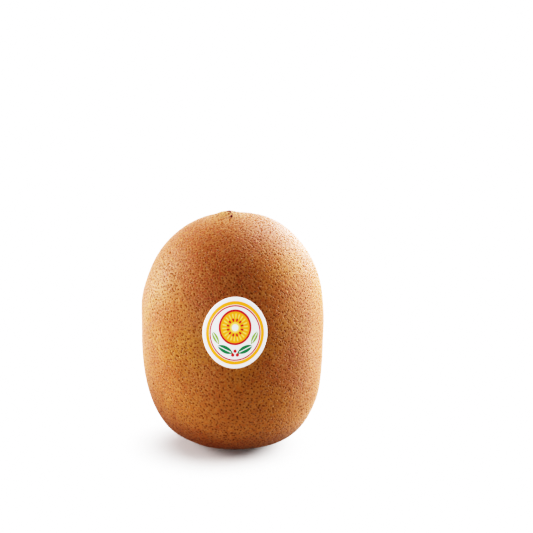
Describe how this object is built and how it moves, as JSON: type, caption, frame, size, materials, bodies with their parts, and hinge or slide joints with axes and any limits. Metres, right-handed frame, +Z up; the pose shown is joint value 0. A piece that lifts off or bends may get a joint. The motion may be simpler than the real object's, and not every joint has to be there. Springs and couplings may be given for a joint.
{
  "type": "golden kiwi fruit",
  "caption": "Whole golden kiwi fruit standing on its flat stem end, with a dried blossom tip on top, a sunk stem scar underneath and a small round paper label on its side.",
  "frame": {"origin": "on the surface the fruit stands on, under the middle of its bounding box", "axes": "+Z up from the stem end to the blossom tip, -Y towards the side with the label, +X to the right as the label is seen"},
  "size_m": [0.054, 0.0518, 0.0707],
  "materials": {
    "skin": "matte",
    "label_paper": "satin"
  },
  "bodies": {
    "root": {"fruit": "skin", "label": "label_paper"}
  },
  "joints": []
}
